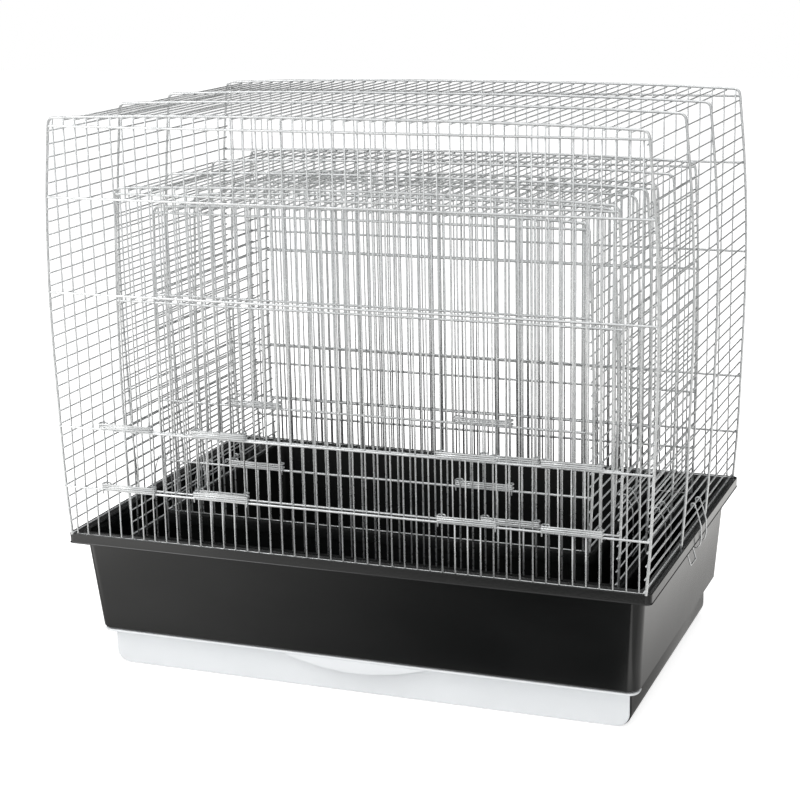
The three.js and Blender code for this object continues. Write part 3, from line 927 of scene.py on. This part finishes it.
for kind, cage in CAGES.items():
    shell = wire_shell(kind + "_hoop_shell", cage)
    nets = (kind + "_left_net", kind + "_right_net", kind + "_roof_net")
    dress(shell, zinc_wire, "zinc_wire", kind + "_top", *nets)

# ---------------------------------------------------------------- feeder doors
# A little sliding door closes each feeder opening: three short bars between two cross wires folded
# into flat bands, whose closed ends are bent back round the neighbouring bars of the front.
DOOR_OUT = 5.3  # the doors stand this far in front of the bars
BAND_R, FILL_R, TAIL_R, DOOR_BAR_R = 0.85, 0.95, 0.75, 0.7
BAND_TALL = 4.9
BAND_TURN = 29.0  # half of the band's length, to the middle of its turned-back ends


def folded_band(x0, y, z, tails):
    """One wire folded into a band three wires high; its ends go back behind the panel's bars."""
    low, middle, high = z + 0.9, z + 2.9, z + BAND_TALL
    behind = y + DOOR_OUT + 2.3
    half = [(0, y), (27.2, y), (BAND_TURN, y + 0.6), (29.6, y + 2.2), (29.6, behind - 1.8)]
    half += [(BAND_TURN, behind - 0.5), (27.4, behind), (24.4, behind)]
    line = [(x0 + x, b, low) for x, b in half]
    line += [(x0 + 23.5, behind, low + 0.7), (x0 + 23.5, behind, high - 0.7)]
    line += [(x0 + x, b, high) for x, b in reversed(half)]
    line += [(x0 - x, b, high) for x, b in half[1:]]
    line += [(x0 - 23.5, behind, high - 0.7), (x0 - 23.5, behind, low + 0.7)]
    line += [(x0 - x, b, low) for x, b in reversed(half[1:])]
    pieces = [bent_wire(line, BAND_R, closed=True, sides=1)]
    pieces.append(straight_wire((x0 - 29.2, y + 0.2, middle), (x0 + 29.2, y + 0.2, middle), FILL_R))
    if tails:
        for side in (-1, 1):
            x = x0 + side * BAND_TURN
            pieces.append(straight_wire((x, y + 1.4, high), (x, y + 1.4, z - 5.6), TAIL_R))
    return pieces


for kind, cage in CAGES.items():
    low_z = cage["rails"][-1] + RAIL_R + 0.35
    top_z = cage["rails"][-2] + RAIL_R + 0.35
    y = cage["hoops"][0] - DOOR_OUT
    for number, place in enumerate(cage["doors"], 1):
        x0 = place * PITCH
        pieces = folded_band(x0, y, low_z, tails=True) + folded_band(x0, y, top_z, tails=False)
        for k in (-1, 0, 1):
            x = x0 + k * PITCH
            foot, head = (x, y + 0.9, low_z + 0.2), (x, y + 0.9, top_z + 5.6)
            pieces.append(straight_wire(foot, head, DOOR_BAR_R))
        door = weld(f"{kind}_sliding_door_{number}", pieces)
        body = f"{kind}_door_{number}"
        dress(door, zinc_wire, "zinc_wire", body, body)

# ---------------------------------------------------------------- side latches
# One bent wire on each side: two eyes round a side wire, two legs down past the rim of the base,
# and a cross wire between their feet. The large cage's legs also hook inwards under the rim.
LATCH_R, LATCH_HALF = 0.75, 12.0
EYE_R, EYE_STEPS, EYE_START, EYE_TURN = 2.5, 8, -60, 300
# Each leg goes out from and down from the eye: (outwards, up).
FREE_LEG = ((2.6, -1.0), (6.0, -6), (8.6, -13), (9.6, -29), (9.2, -42), (8.4, -54), (8.0, -64))
HOOKED_LEG = (
    (2.9, -1.6),
    (5.2, -8.7),
    (8.5, -20.7),
    (9.0, -29.2),
    (9.0, -35.2),
    (7.7, -41.2),
    (4.4, -45.0),
    (1.0, -43.7),
    (-1.2, -38.9),
    (-3.0, -38.0),
    (-4.3, -42.2),
    (-4.4, -54.2),
    (-1.6, -63.5),
)


def latch_line(px, pz, side, y_mid, leg):
    """One eye, its leg down, across the foot, and up the other leg to its eye."""
    ring = []
    for step in range(EYE_STEPS + 1):
        a = math.radians(EYE_START + EYE_TURN * step / EYE_STEPS)
        ring.append((px - side * EYE_R * math.cos(a), pz + EYE_R * math.sin(a)))
    down = [(px + side * x, pz + z) for x, z in leg]
    foot_x, foot_z = down[-1][0] + side * 0.3, down[-1][1] - 1.2
    one, two = y_mid - LATCH_HALF, y_mid + LATCH_HALF
    line = [(x, one + 1.2 - 0.15 * i, z) for i, (x, z) in enumerate(ring)]
    line += [(x, one, z) for x, z in down]
    line += [(foot_x, one + 2.2, foot_z), (foot_x, two - 2.2, foot_z)]
    line += [(x, two, z) for x, z in reversed(down)]
    line += [(x, two - 1.2 + 0.15 * i, z) for i, (x, z) in reversed(list(enumerate(ring)))]
    return line


for kind, cage in CAGES.items():
    pz = cage["rim"] + SIDE_WIRE_UP + cage["latch_wire"] * PITCH
    leg = HOOKED_LEG if kind == "outer" else FREE_LEG
    for side, word in ((-1, "left"), (1, "right")):
        px = side * (side_at(cage, pz) - HOOP_R - WIRE_R + WELD)
        latch = bent_wire(latch_line(px, pz, side, cage["latch_y"], leg), LATCH_R)
        latch.name = f"{kind}_bent_latch_{word}"
        body = f"{kind}_latch_{word}"
        dress(latch, zinc_wire, "zinc_wire", body, body)

bpy.data.objects.remove(wire_blank, do_unlink=True)

# ---------------------------------------------------------------- colour view
bpy.context.scene.view_settings.view_transform = "Standard"
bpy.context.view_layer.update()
